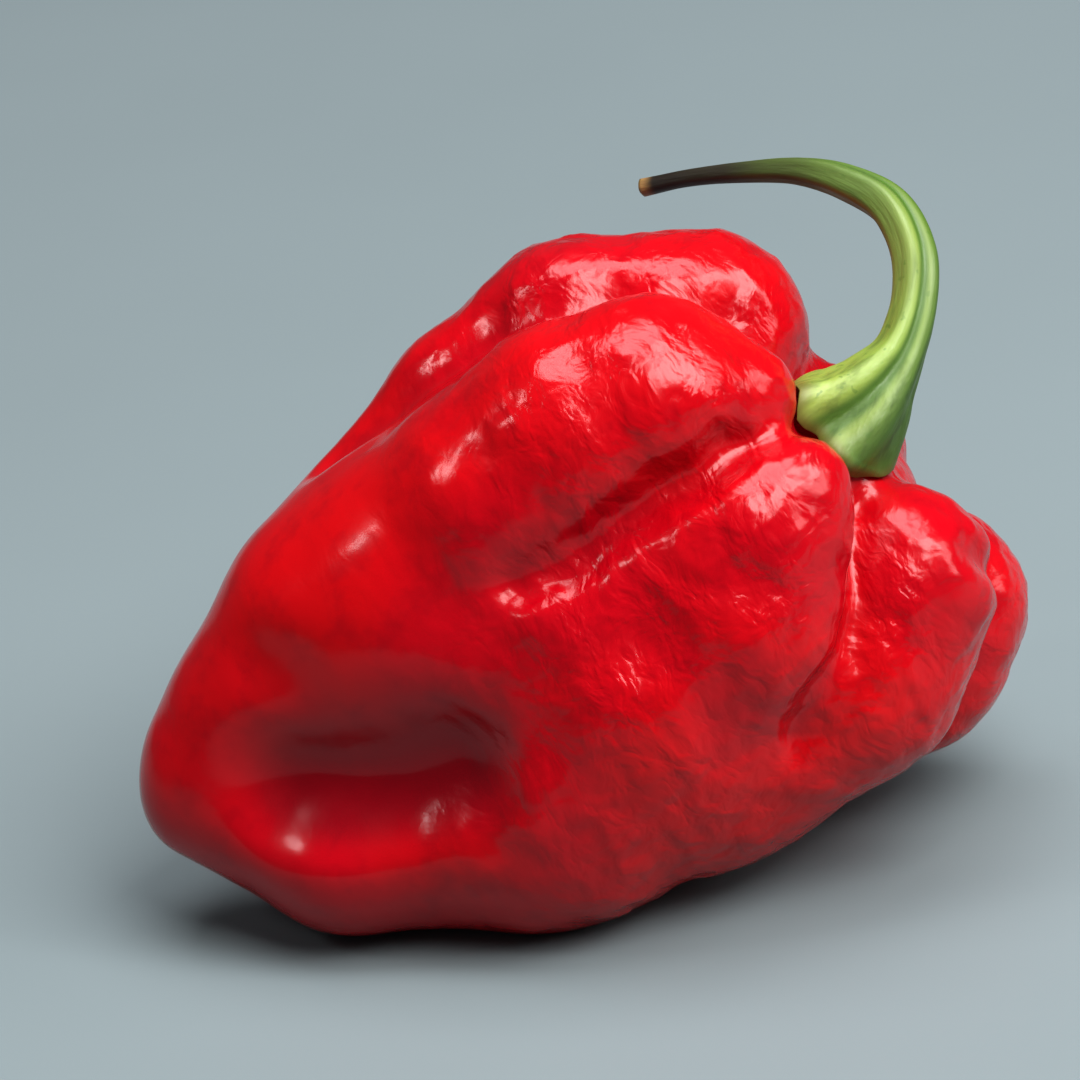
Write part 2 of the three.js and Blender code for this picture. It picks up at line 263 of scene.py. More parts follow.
def skin_points(directions):
    """Walks in along each ray to the outermost skin."""
    origin = CORE + CORE_AXIS * (CORE_REACH * (directions @ CORE_AXIS))[:, None]
    reach = np.full(len(directions), RAY_LENGTH)
    # Quickly down to 1.2 mm above the smooth lobes, then slowly to the folded skin
    for field, floor, share in ((lobe_field, 1.2, 0.75), (pod_field, 0.02, 0.5)):
        live = np.arange(len(directions))
        for _ in range(60):
            value = field(origin[live] + directions[live] * reach[live][:, None])
            going = value > floor
            reach[live] -= np.where(going, np.maximum(value - floor * 0.5, 0.01) * share, 0.0)
            live = live[going]
            if not len(live):
                break
    inner, outer = reach - RAY_BRACKET, reach + RAY_BRACKET
    for _ in range(9):
        middle = (inner + outer) / 2
        inside = pod_field(origin + directions * middle[:, None]) < 0
        inner, outer = np.where(inside, middle, inner), np.where(inside, outer, middle)
    points = origin + directions * ((inner + outer) / 2)[:, None]
    points[np.abs(points[:, 2]) < 0.01, 2] = 0.0
    return points


def cube_sphere(cuts):
    """Evenly spread directions and the quads that join them."""
    turn = np.tan(np.linspace(-math.pi / 4, math.pi / 4, cuts + 1))
    u, v = np.meshgrid(turn, turn, indexing="ij")
    one = np.ones_like(u)
    sides = [(one, u, v), (-one, v, u), (v, one, u), (u, -one, v), (u, v, one), (v, u, -one)]
    points = np.concatenate([np.stack(s, -1).reshape(-1, 3) for s in sides])
    index = np.arange(6 * (cuts + 1) ** 2).reshape(6, cuts + 1, cuts + 1)
    corners = [index[:, :-1, :-1], index[:, 1:, :-1], index[:, 1:, 1:], index[:, :-1, 1:]]
    quads = np.stack(corners, -1).reshape(-1, 4)
    _, first, back = np.unique(np.round(points, 6), axis=0, return_index=True, return_inverse=True)
    directions = points[first]
    return directions / np.linalg.norm(directions, axis=1, keepdims=True), back.reshape(-1)[quads]


def new_mesh(name, points, faces):
    """A smooth mesh from points in millimetres."""
    mesh = bpy.data.meshes.new(name)
    mesh.from_pydata((points * MM).tolist(), [], faces.tolist())
    mesh.polygons.foreach_set("use_smooth", np.ones(len(mesh.polygons), bool))
    mesh.update()
    return mesh


def link(name, data):
    """A new object of the scene, at the origin."""
    obj = bpy.data.objects.new(name, data)
    bpy.context.scene.collection.objects.link(obj)
    return obj


def apply_nodes(obj, name):
    """The evaluated object as a plain mesh object, with the node modifier gone."""
    depsgraph = bpy.context.evaluated_depsgraph_get()
    mesh = bpy.data.meshes.new_from_object(
        obj.evaluated_get(depsgraph), preserve_all_data_layers=True, depsgraph=depsgraph
    )
    bpy.data.objects.remove(obj)
    mesh.name = name
    if not mesh.vertices:
        raise RuntimeError(f"{name}: the node tree made no mesh")
    return link(name, mesh)


class Wire:
    """A node socket that takes part in arithmetic."""

    def __init__(self, net, socket):
        self.net = net
        self.socket = socket

    def __add__(self, other):
        return self.net.math("ADD", self, other)

    def __radd__(self, other):
        return self.net.math("ADD", other, self)

    def __sub__(self, other):
        return self.net.math("SUBTRACT", self, other)

    def __rsub__(self, other):
        return self.net.math("SUBTRACT", other, self)

    def __mul__(self, other):
        return self.net.math("MULTIPLY", self, other)

    def __rmul__(self, other):
        return self.net.math("MULTIPLY", other, self)

    def __truediv__(self, other):
        return self.net.math("DIVIDE", self, other)

    def __rtruediv__(self, other):
        return self.net.math("DIVIDE", other, self)

    def __pow__(self, other):
        return self.net.math("POWER", self, other)

    def __neg__(self):
        return self.net.math("MULTIPLY", self, -1.0)


class Net:
    """A node tree written as expressions."""

    def __init__(self, tree):
        self.tree = tree
        tree.nodes.clear()

    def node(self, kind, settings=None, inputs=None):
        """Any node: its settings first, then the values or wires of its sockets."""
        made = self.tree.nodes.new(kind)
        for key, value in (settings or {}).items():
            setattr(made, key, value)
        for key, value in (inputs or {}).items():
            self.feed(made.inputs[key], value)
        return made

    def feed(self, socket, value):
        """Links a wire to the socket, or sets its value."""
        if isinstance(value, Wire):
            self.tree.links.new(value.socket, socket)
        elif value is not None:
            socket.default_value = value

    def out(self, made, key=0):
        return Wire(self, made.outputs[key])

    def math(self, operation, *values):
        return self.out(self.node("ShaderNodeMath", {"operation": operation}, dict(enumerate(values))))

    def vector(self, operation, *values, key=0):
        made = self.node("ShaderNodeVectorMath", {"operation": operation})
        for number, value in enumerate(values):
            self.feed(made.inputs[number], value)
        return self.out(made, key)

    def scale(self, value, factor):
        made = self.node("ShaderNodeVectorMath", {"operation": "SCALE"}, {0: value, "Scale": factor})
        return self.out(made)

    def split(self, value):
        made = self.node("ShaderNodeSeparateXYZ", inputs={0: value})
        return [self.out(made, axis) for axis in range(3)]

    def join(self, x, y, z):
        return self.out(self.node("ShaderNodeCombineXYZ", inputs={0: x, 1: y, 2: z}))

    def dot(self, value, axis):
        return self.vector("DOT_PRODUCT", value, axis, key="Value")

    def ramp(self, value, low, high, to_low=0.0, to_high=1.0):
        """Smooth step from low to high."""
        settings = {"interpolation_type": "SMOOTHSTEP", "clamp": True}
        inputs = {"Value": value, "From Min": low, "From Max": high, "To Min": to_low, "To Max": to_high}
        return self.out(self.node("ShaderNodeMapRange", settings, inputs))

    def noise(self, vector, scale, detail=2.0, roughness=0.5, key=0):
        """Noise at a place: its factor, or with key 1 its colour."""
        inputs = {"Vector": vector, "Scale": scale, "Detail": detail, "Roughness": roughness}
        return self.out(self.node("ShaderNodeTexNoise", {"noise_dimensions": "3D"}, inputs), key)

    def bump(self, height, strength, distance):
        """Normal of a surface with the height on it."""
        inputs = {"Strength": strength, "Distance": distance, "Height": height}
        return self.out(self.node("ShaderNodeBump", inputs=inputs))

    def mix_colour(self, factor, a, b, blend="MIX"):
        """From colour a at factor 0 to the blend with b at factor 1."""
        made = self.node("ShaderNodeMix", {"data_type": "RGBA", "blend_type": blend, "clamp_factor": True})
        self.feed(made.inputs[0], factor)
        self.feed(made.inputs[6], a)
        self.feed(made.inputs[7], b)
        return self.out(made, 2)


def geometry_net(name, sockets):
    """A geometry node tree with named inputs: its net, the input wires by name and their identifiers."""
    tree = bpy.data.node_groups.new(name, "GeometryNodeTree")
    net = Net(tree)
    tree.interface.new_socket(name="Geometry", in_out="INPUT", socket_type="NodeSocketGeometry")
    tree.interface.new_socket(name="Geometry", in_out="OUTPUT", socket_type="NodeSocketGeometry")
    identifiers = {}
    for label, kind in sockets.items():
        socket = tree.interface.new_socket(name=label, in_out="INPUT", socket_type="NodeSocket" + kind)
        identifiers[label] = socket.identifier
    entry = net.node("NodeGroupInput")
    wires = {label: net.out(entry, label) for label in ("Geometry", *sockets)}
    return net, wires, identifiers


def close_geometry(net, wire, material):
    """Ends a geometry tree in Realize Instances and Set Material."""
    real = net.out(net.node("GeometryNodeRealizeInstances", inputs={"Geometry": wire}))
    set_material = net.node("GeometryNodeSetMaterial", inputs={"Geometry": real, "Material": material})
    net.node("NodeGroupOutput", inputs={"Geometry": net.out(set_material)})


def use_tree(obj, tree, identifiers, values):
    """Puts a geometry tree on an object, with values for its named inputs."""
    modifier = obj.modifiers.new(tree.name, "NODES")
    modifier.node_group = tree
    for label, value in values.items():
        modifier[identifiers[label]] = value


def shader_net(name):
    """A new material: its net, its shader and the place on the object."""
    material = bpy.data.materials.new(name)
    material.use_nodes = True
    net = Net(material.node_tree)
    shader = net.node("ShaderNodeBsdfPrincipled")
    net.node("ShaderNodeOutputMaterial", inputs={"Surface": net.out(shader)})
    coordinates = net.out(net.node("ShaderNodeTexCoord"), "Object")
    return material, net, shader, coordinates


def girth_place(net, place, share):
    """Coordinates drawn out round the pod, so that noise on them runs across its length."""
    return net.join(net.dot(place, POD_AXIS), net.split(place)[1] * share, net.dot(place, POD_RISE) * share)


def attribute(net, name, key="Fac"):
    """A vertex attribute as the material reads it."""
    made = net.node("ShaderNodeAttribute", {"attribute_type": "GEOMETRY", "attribute_name": name})
    return net.out(made, key)


# Materials

# Noise scales of the skin and of the stem, in cells per metre
SKIN_SCALES = {
    "patch": 60.0, "mottle": 420.0, "gloss": 240.0, "warp": 260.0, "calm": 200.0, "ripple": 750.0,
    "line": 620.0, "fine_line": 1250.0, "grain": 2400.0,
}
STEM_SCALES = {"streak": 1500.0, "patch": 700.0, "freckle": 1900.0, "fine": 4200.0}
SKIN_RELIEF = 0.00026
STEM_RELIEF = 0.00012

# Share of the stem's length and its tone there, from the calyx rim to the dry end and the cut face
STEM_TONES = [
    (0.0, (0.145, 0.175, 0.022, 1)), (0.055, (0.245, 0.315, 0.055, 1)), (0.22, (0.215, 0.30, 0.054, 1)),
    (0.38, (0.19, 0.255, 0.055, 1)), (0.56, (0.11, 0.175, 0.033, 1)), (0.72, (0.062, 0.088, 0.018, 1)),
    (0.84, (0.024, 0.019, 0.008, 1)), (0.97, (0.016, 0.010, 0.006, 1)), (0.995, (0.30, 0.17, 0.06, 1)),
]
STREAK_TONE = (0.13, 0.22, 0.03, 1)
FRECKLE_TONE = (0.07, 0.14, 0.015, 1)


def skin_relief(net, place):
    """Height of the skin's crinkles, drawn out round the pod and fading towards the blossom tip."""
    drawn = girth_place(net, place, 0.7)
    warp = net.scale(net.noise(drawn, SKIN_SCALES["warp"], key=1), 0.0035)
    bent = net.vector("ADD", drawn, warp)
    crown = net.ramp(net.split(place)[0], -0.012, 0.003, 0.12, 1.0)
    patches = net.ramp(net.noise(place, SKIN_SCALES["calm"]), 0.35, 0.6, 0.3, 1.0)
    ripples = net.noise(bent, SKIN_SCALES["ripple"])
    lines = net.math("ABSOLUTE", net.noise(bent, SKIN_SCALES["line"]) - 0.5)
    fine_lines = net.math("ABSOLUTE", net.noise(bent, SKIN_SCALES["fine_line"]) - 0.5)
    cracks = net.ramp(lines, 0.0, 0.08) * 0.045 + net.ramp(fine_lines, 0.0, 0.09) * 0.02
    fine = net.noise(bent, SKIN_SCALES["grain"], 2.0, 0.55)
    return (ripples * 0.8 + cracks * patches + fine * 0.1) * crown


def skin_material(settings):
    """Glossy red skin with painted shade darkening the folds, and fine crinkles that break up the
    reflections.
    """
    material, net, shader, place = shader_net("pod_skin")
    skin, warm, deep = tuple(settings.skin_colour), tuple(settings.skin_warm), tuple(settings.fold_shade_and_fleck_red)
    lit = net.mix_colour(net.ramp(net.noise(place, SKIN_SCALES["patch"]), 0.35, 0.65), skin, warm)
    mottle = net.noise(place, SKIN_SCALES["mottle"], 3.0, 0.6)
    flecked = net.mix_colour(net.ramp(mottle, 0.45, 0.75, 0.0, 0.35), lit, deep)
    # Painted shade: the skin darkens towards the deep red where the folds press in deeper.
    crease = attribute(net, "crease")
    net.feed(shader.inputs["Base Color"], net.mix_colour(net.ramp(crease, 0.3, 1.9, 0.0, 0.9), flecked, deep))
    gloss = net.noise(place, SKIN_SCALES["gloss"], 3.0, 0.6)
    net.feed(shader.inputs["Roughness"], net.ramp(gloss, 0.3, 0.7, 0.15, 0.27))
    net.feed(shader.inputs["Normal"], net.bump(skin_relief(net, place), 1.0, SKIN_RELIEF))
    shader.inputs["Specular IOR Level"].default_value = 0.27
    shader.inputs["Coat Weight"].default_value = 0.2
    shader.inputs["Coat Roughness"].default_value = 0.12
    return material


def stem_tones(net, along):
    """The stem's tone along its length."""
    made = net.node("ShaderNodeValToRGB", inputs={"Fac": along})
    ramp = made.color_ramp
    ramp.interpolation = "EASE"
    ramp.elements[0].position, ramp.elements[0].color = STEM_TONES[0]
    ramp.elements[1].position, ramp.elements[1].color = STEM_TONES[-1]
    for position, tone in STEM_TONES[1:-1]:
        ramp.elements.new(position).color = tone
    return net.out(made)


def stem_material(settings):
    """Green calyx and stalk with pale ribs that carry a painted highlight, painted shade in the furrows,
    browning to a dry cut end.
    """
    material, net, shader, place = shader_net("stem_green")
    along = attribute(net, "along")
    rib = attribute(net, "rib")
    grain = attribute(net, "grain", "Vector")
    streak = net.noise(grain, STEM_SCALES["streak"], 3.0, 0.6)
    fade = net.ramp(along, 0.5, 0.8, 1.0, 0.0)
    shade = net.ramp(attribute(net, "side"), -0.3, 0.4)
    colour = net.mix_colour(shade * fade, stem_tones(net, along), tuple(settings.shade_colour))
    # Pale ribs, partly a painted highlight along the stalk's crest that fades on the shaded side.
    pale = net.ramp(rib, 0.03, 0.08, 0.0, 0.4) * (1.0 - shade * 0.7) * fade
    colour = net.mix_colour(pale, colour, tuple(settings.rib_pale_and_highlight))
    # Painted shade: darker green down the furrows.
    furrow = net.ramp(rib, -0.03, -0.2, 0.0, 0.9) * fade
    colour = net.mix_colour(furrow, colour, tuple(settings.furrow_shade_colour))
    patch = net.ramp(net.noise(grain, STEM_SCALES["patch"]), 0.35, 0.65)
    colour = net.mix_colour(net.ramp(streak, 0.42, 0.68, 0.0, 0.5) * patch, colour, STREAK_TONE, "MULTIPLY")
    freckle = net.ramp(net.noise(place, STEM_SCALES["freckle"], 1.0), 0.66, 0.74, 0.0, 0.5) * fade
    colour = net.mix_colour(freckle, colour, FRECKLE_TONE)
    rim = net.ramp(attribute(net, "rim"), 0.004, 0.03, 0.7, 0.0)
    net.feed(shader.inputs["Base Color"], net.mix_colour(rim, colour, tuple(settings.rim_colour)))
    net.feed(shader.inputs["Roughness"], net.ramp(streak, 0.3, 0.7, 0.42, 0.6))
    height = streak + net.noise(grain, STEM_SCALES["fine"]) * 0.3
    net.feed(shader.inputs["Normal"], net.bump(height, 0.5, STEM_RELIEF))
    shader.inputs["Subsurface Weight"].default_value = 0.08
    shader.inputs["Subsurface Radius"].default_value = (0.5, 1.0, 0.2)
    shader.inputs["Subsurface Scale"].default_value = 0.0008
    return material


def floor_material(colour):
    """Plain pale floor with a faint mottle."""
    material, net, shader, place = shader_net("pale_floor")
    darker = tuple(0.94 * c for c in colour[:3]) + (1,)
    net.feed(shader.inputs["Base Color"], net.mix_colour(net.noise(place, 30.0, 3.0), tuple(colour), darker))
    shader.inputs["Roughness"].default_value = 0.6
    return material


# Settings

class PepperPodSettings(bpy.types.PropertyGroup):
    skin_cuts: bpy.props.IntProperty(
        name="Skin cuts", description="Cuts along each side of the cube sphere that the skin starts from",
        default=126, min=16, max=127,
    )
    wrinkle_height: bpy.props.FloatProperty(
        name="Wrinkle height", description="Height of the fine wrinkles in the skin",
        default=0.00055, min=0.0, max=0.001, precision=5, unit="LENGTH",
    )
    wrinkle_size: bpy.props.FloatProperty(
        name="Wrinkle size", description="Distance from one wrinkle to the next",
        default=0.0026, min=0.0003, max=0.01, precision=4, unit="LENGTH",
    )
    easing: bpy.props.IntProperty(
        name="Easing", description="How often the folds' sharp edges are evened out",
        default=3, min=0, max=20,
    )
    skin_colour: bpy.props.FloatVectorProperty(
        name="Skin colour", description="Red of the open skin",
        default=(0.39, 0.0006, 0.007, 1.0), size=4, min=0, max=1, subtype="COLOR",
    )
    skin_warm: bpy.props.FloatVectorProperty(
        name="Warm patches", description="Warmer red of the riper patches",
        default=(0.47, 0.0014, 0.0045, 1.0), size=4, min=0, max=1, subtype="COLOR",
    )
    # Deep red of the random flecks; in the folds the same red is painted shade.
    fold_shade_and_fleck_red: bpy.props.FloatVectorProperty(
        name="Deep red", description="Red in the folds and flecks",
        default=(0.20, 0.0004, 0.006, 1.0), size=4, min=0, max=1, subtype="COLOR",
    )


class PepperStemSettings(bpy.types.PropertyGroup):
    ribs: bpy.props.IntProperty(
        name="Ribs", description="Lengthwise ribs round the stem", default=5, min=3, max=9,
    )
    rib_height: bpy.props.FloatProperty(
        name="Rib height", description="Rib height as a share of the stem's radius",
        default=0.07, min=0, max=0.3,
    )
    furrow_depth: bpy.props.FloatProperty(
        name="Furrow depth", description="Depth of the one deep furrow as a share of the radius",
        default=0.2, min=0, max=0.5,
    )
    furrow_width: bpy.props.FloatProperty(
        name="Furrow width", description="Width of the deep furrow round the stem",
        default=math.radians(17), min=0.01, max=1.5, subtype="ANGLE", unit="ROTATION",
    )
    furrow_start: bpy.props.FloatProperty(
        name="Furrow start", description="Where round the calyx rim the furrow starts",
        default=math.radians(32), subtype="ANGLE", unit="ROTATION",
    )
    furrow_end: bpy.props.FloatProperty(
        name="Furrow end", description="Where round the stalk the furrow runs on",
        default=math.radians(56), subtype="ANGLE", unit="ROTATION",
    )
    furrow_turn: bpy.props.FloatProperty(
        name="Furrow turn", description="Length of calyx over which the furrow turns",
        default=0.009, min=0.001, max=0.04, precision=4, unit="LENGTH",
    )
    grain_height: bpy.props.FloatProperty(
        name="Grain height", description="Height of the fine lengthwise grain",
        default=0.00009, min=0, max=0.001, precision=5, unit="LENGTH",
    )
    # Painted shade in the furrows.
    furrow_shade_colour: bpy.props.FloatVectorProperty(
        name="Furrow colour", description="Green in the furrows",
        default=(0.045, 0.11, 0.008, 1.0), size=4, min=0, max=1, subtype="COLOR",
    )
    # Pale green of the ribs, partly a painted highlight along the crest.
    rib_pale_and_highlight: bpy.props.FloatVectorProperty(
        name="Rib colour", description="Pale green on the ribs",
        default=(0.38, 0.46, 0.17, 1.0), size=4, min=0, max=1, subtype="COLOR",
    )
    shade_colour: bpy.props.FloatVectorProperty(
        name="Shaded side", description="Darker green past the deep furrow",
        default=(0.05, 0.11, 0.008, 1.0), size=4, min=0, max=1, subtype="COLOR",
    )
    rim_colour: bpy.props.FloatVectorProperty(
        name="Rim colour", description="Dry olive edge of the calyx",
        default=(0.11, 0.095, 0.015, 1.0), size=4, min=0, max=1, subtype="COLOR",
    )


class PepperStageSettings(bpy.types.PropertyGroup):
    floor_colour: bpy.props.FloatVectorProperty(
        name="Floor colour", description="Pale plain floor",
        default=(0.176, 0.212, 0.222, 1.0), size=4, min=0, max=1, subtype="COLOR",
    )
    camera_distance: bpy.props.FloatProperty(
        name="Camera distance", description="From the camera to the middle of the picture",
        default=0.35, min=0.1, max=2.0, unit="LENGTH",
    )
    camera_elevation: bpy.props.FloatProperty(
        name="Camera elevation", description="Height of the view above level",
        default=math.radians(25), subtype="ANGLE", unit="ROTATION",
    )
    camera_roll: bpy.props.FloatProperty(
        name="Camera roll", description="Tilt of the picture", default=math.radians(8.4),
        subtype="ANGLE", unit="ROTATION",
    )
    camera_lens: bpy.props.FloatProperty(
        name="Lens", description="Focal length in millimetres on a 36 mm sensor",
        default=210.0, min=20, max=400,
    )


# Pieces

def wrinkle_tree():
    """Geometry nodes that even out the folds' edges and raise wrinkles drawn out round the pod."""
    net, wires, identifiers = geometry_net(
        "Pod wrinkles",
        {
            "Wrinkle height": "Float", "Wrinkle size": "Float", "Easing": "Int", "Seed": "Int",
            "Material": "Material",
        },
    )
    position = net.out(net.node("GeometryNodeInputPosition"))
    eased = net.node(
        "GeometryNodeBlurAttribute", {"data_type": "FLOAT_VECTOR"},
        {"Value": position, "Iterations": wires["Easing"]},
    )
    rounded = net.node(
        "GeometryNodeSetPosition", inputs={"Geometry": wires["Geometry"], "Position": net.out(eased)}
    )
    normal = net.out(net.node("GeometryNodeInputNormal"))
    drawn = girth_place(net, position, 0.75)
    shifted = net.vector("ADD", drawn, net.join(wires["Seed"] * 0.1, 0.0, 0.0))
    frequency = 1.0 / wires["Wrinkle size"]
    drift = net.vector("SUBTRACT", net.noise(shifted, frequency * 0.5, key=1), (0.5, 0.5, 0.5))
    bent = net.vector("ADD", shifted, net.scale(drift, wires["Wrinkle size"] * 2.0))
    swell = net.noise(bent, frequency, 1.0) - 0.5
    crease = 1.0 - net.math("ABSOLUTE", net.noise(bent, frequency * 1.9) - 0.5) * 6.0
    patch = net.ramp(net.noise(shifted, frequency * 0.3, 1.0), 0.38, 0.6, 0.25, 1.0)
    x, _, z = net.split(position)
    fold = net.node("GeometryNodeInputNamedAttribute", {"data_type": "FLOAT"}, {"Name": "crease"})
    # The flat spot, the blossom end and the folds stay smooth
    clear = net.ramp(z, 0.0002, 0.0015) * net.ramp(x, -0.014, 0.002, 0.08, 1.0)
    clear = clear * net.ramp(net.out(fold), 0.6, 1.8, 1.0, 0.1)
    lift = (swell - net.math("MAXIMUM", crease, 0.0) * 0.12 * patch) * wires["Wrinkle height"] * clear
    moved = net.node(
        "GeometryNodeSetPosition",
        inputs={"Geometry": net.out(rounded), "Offset": net.scale(normal, lift)},
    )
    close_geometry(net, net.out(moved), wires["Material"])
    return net.tree, identifiers


class PEPPER_OT_pod(bpy.types.Operator):
    """Makes the pod's wrinkled skin from its lobes and folds"""

    bl_idname = "pepper.pod"
    bl_label = "Pod"

    def execute(self, context):
        settings = context.scene.pepper_pod
        directions, quads = cube_sphere(settings.skin_cuts)
        points = skin_points(directions)
        mesh = new_mesh("pod_base", points, quads)
        # How deep the folds press in: it keeps the wrinkles off the folds and drives the painted shade there.
        press = mesh.attributes.new("crease", "FLOAT", "POINT")
        press.data.foreach_set("value", fold_press(points).astype(np.float32))
        base = link("pod_base", mesh)
        tree, identifiers = wrinkle_tree()
        values = {
            "Wrinkle height": settings.wrinkle_height, "Wrinkle size": settings.wrinkle_size,
            "Easing": settings.easing, "Seed": POD_SEED, "Material": skin_material(settings),
        }
        use_tree(base, tree, identifiers, values)
        pod = apply_nodes(base, "pod_skin")
        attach(pod, "root")
        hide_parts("pod")
        return {"FINISHED"}


def stem_curve():
    """The stem's middle line as a poly curve with the stem's radius at each point, and its length."""
    line = np.array(STEM_LINE, float)
    knots = np.concatenate([[0], np.cumsum(np.sqrt(np.linalg.norm(np.diff(line, axis=0), axis=1)))])
    before = line[0] * 2 - line[1]
    after = line[-1] * 2 - line[-2]
    line = np.concatenate([[before], line, [after]])
    knots = np.concatenate([[knots[0] - (knots[1] - knots[0])], knots, [knots[-1] + (knots[-1] - knots[-2])]])
    samples = []
    for i in range(1, len(line) - 2):
        t0, t1, t2, t3 = knots[i - 1 : i + 3]
        p0, p1, p2, p3 = line[i - 1 : i + 3]
        for t in np.linspace(t1, t2, 16, endpoint=i == len(line) - 3):
            a1 = (t1 - t) / (t1 - t0) * p0 + (t - t0) / (t1 - t0) * p1
            a2 = (t2 - t) / (t2 - t1) * p1 + (t - t1) / (t2 - t1) * p2
            a3 = (t3 - t) / (t3 - t2) * p2 + (t - t2) / (t3 - t2) * p3
            b1 = (t2 - t) / (t2 - t0) * a1 + (t - t0) / (t2 - t0) * a2
            b2 = (t3 - t) / (t3 - t1) * a2 + (t - t1) / (t3 - t1) * a3
            samples.append((t2 - t) / (t2 - t1) * b1 + (t - t1) / (t2 - t1) * b2)
    samples = np.array(samples)
    distance = np.concatenate([[0], np.cumsum(np.linalg.norm(np.diff(samples, axis=0), axis=1))])
    radii = smooth_table(distance, np.array(STEM_RADII, float))
    curve = bpy.data.curves.new("stem_line", "CURVE")
    curve.dimensions = "3D"
    spline = curve.splines.new("POLY")
    spline.points.add(len(samples) - 1)
    spline.points.foreach_set("co", np.c_[samples * MM, np.ones(len(samples))].ravel())
    spline.points.foreach_set("radius", radii * MM)
    return curve, distance[-1] * MM


def smooth_table(x, table):
    """Values between the table's rows on a curve through them."""
    xs, ys = table[:, 0], table[:, 1]
    slope = np.gradient(ys, xs)
    i = np.clip(np.searchsorted(xs, x) - 1, 0, len(xs) - 2)
    width = xs[i + 1] - xs[i]
    t = np.clip((x - xs[i]) / width, 0, 1)
    return (
        (2 * t**3 - 3 * t**2 + 1) * ys[i] + (t**3 - 2 * t**2 + t) * width * slope[i]
        + (-2 * t**3 + 3 * t**2) * ys[i + 1] + (t**3 - t**2) * width * slope[i + 1]
    )


def vertex_values(mesh, name, width):
    """A vertex attribute of one or three numbers as an array with a row for each vertex."""
    layer = mesh.attributes[name].data
    values = np.empty(len(mesh.vertices) * width, np.float32)
    layer.foreach_get("value" if width == 1 else "vector", values)
    return values.reshape(-1, width).astype(float)


# What the stem's material reads at each point, with the number of values
STEM_VALUES = {"grain": 3, "along": 1, "rib": 1, "side": 1}


def rim_starts(points, table, gap):
    """For each lengthwise line of the stem, the row where it leaves the pod, a little uneven."""
    sides = len(table)
    starts = np.empty(sides)
    for side in range(sides):
        inside = pod_field(points[table[side]]) < gap
        starts[side] = np.nonzero(inside)[0].max() if inside.any() else 0.0
    turn = np.arange(sides) * 2 * math.pi / sides
    ragged = 0.35 * np.sin(5 * turn + 0.6) + 0.3 * np.sin(13 * turn + 2.0)
    return np.maximum(starts + 1, 0) + (ragged + 0.65) * RIM_UNEVENNESS


def rim_flare(rim, axis):
    """How far and in which direction each point of the rim bends out, until it nearly meets a lobe."""
    outward = rim - rim.mean(0)
    outward -= axis * (outward @ axis)[:, None]
    outward /= np.linalg.norm(outward, axis=1, keepdims=True)
    flare = np.zeros(len(rim))
    free = np.ones(len(rim), bool)
    for _ in range(round(RIM_FLARE / RIM_STEP)):
        free &= pod_field(rim + outward * (flare + RIM_STEP)[:, None]) > RIM_CLEARANCE
        flare += np.where(free, RIM_STEP, 0.0)
    flare = np.where(free, RIM_OPEN_FLARE, flare)
    neighbours = np.arange(-3, 4)
    return sum(np.roll(flare, step) for step in neighbours) / len(neighbours), outward


def trim_to_pod(mesh, rings, sides, gap):
    """Draws each lengthwise line of the stem back to where it leaves the pod, so the rim follows the skin."""
    co = np.empty(len(mesh.vertices) * 3, np.float32)
    mesh.vertices.foreach_get("co", co)
    p = co.reshape(-1, 3).astype(float) / MM
    spot = vertex_values(mesh, "spot", 3)
    old = np.concatenate([p] + [vertex_values(mesh, name, width) for name, width in STEM_VALUES.items()], 1)
    row = np.rint(spot[:, 0] * rings).astype(int)
    column = np.rint(spot[:, 1] / (2 * math.pi) * sides).astype(int) % sides
    wall = spot[:, 2] > 0.999
    table = np.zeros((sides, rings + 1), int)
    table[column[wall], row[wall]] = np.nonzero(wall)[0]
    starts = rim_starts(p, table, gap)
    data = old.copy()
    for side in range(sides):
        line = old[table[side]]
        at = starts[side] + (rings - starts[side]) * np.linspace(0, 1, rings + 1)
        low = np.clip(np.floor(at).astype(int), 0, rings - 1)
        part = (at - low)[:, None]
        data[table[side]] = line[low] * (1 - part) + line[low + 1] * part
    along = 3 + STEM_VALUES["grain"]  # its column comes after the place and the grain
    rim_distance = np.zeros(len(p))
    rim_distance[table] = data[table, along] - data[table[:, :1], along]
    axis = np.subtract(STEM_LINE[2], STEM_LINE[0])
    axis = axis / np.linalg.norm(axis)
    flare, outward = rim_flare(data[table[:, 0], :3], axis)
    ease = np.clip(1.0 - np.arange(rings + 1) / RIM_ROWS, 0, 1)
    ease = ease * ease * (3.0 - 2.0 * ease)
    data[table, :3] += outward[:, None, :] * (flare[:, None] * ease)[:, :, None]
    rim = data[table[:, 0]]
    cap = ~wall & (row == 0)
    share = spot[cap, 2][:, None]
    data[cap] = rim.mean(0) * (1 - share) + rim[column[cap]] * share
    # The closed underside is pushed up along the stem until it is clear of the pod
    for _ in range(80):
        value = pod_field(data[cap, :3])
        if not (value < gap).any():
            break
        data[cap, :3] += axis * np.clip((gap - value) * 0.6, 0.0, 0.4)[:, None]
    mesh.vertices.foreach_set("co", (data[:, :3] * MM).astype(np.float32).ravel())
    first = 3
    for name, width in STEM_VALUES.items():
        values = data[:, first : first + width].astype(np.float32).ravel()
        mesh.attributes[name].data.foreach_set("value" if width == 1 else "vector", values)
        first += width
    mesh.attributes["rim"].data.foreach_set("value", rim_distance.astype(np.float32))
    mesh.attributes.remove(mesh.attributes["spot"])
    mesh.update()


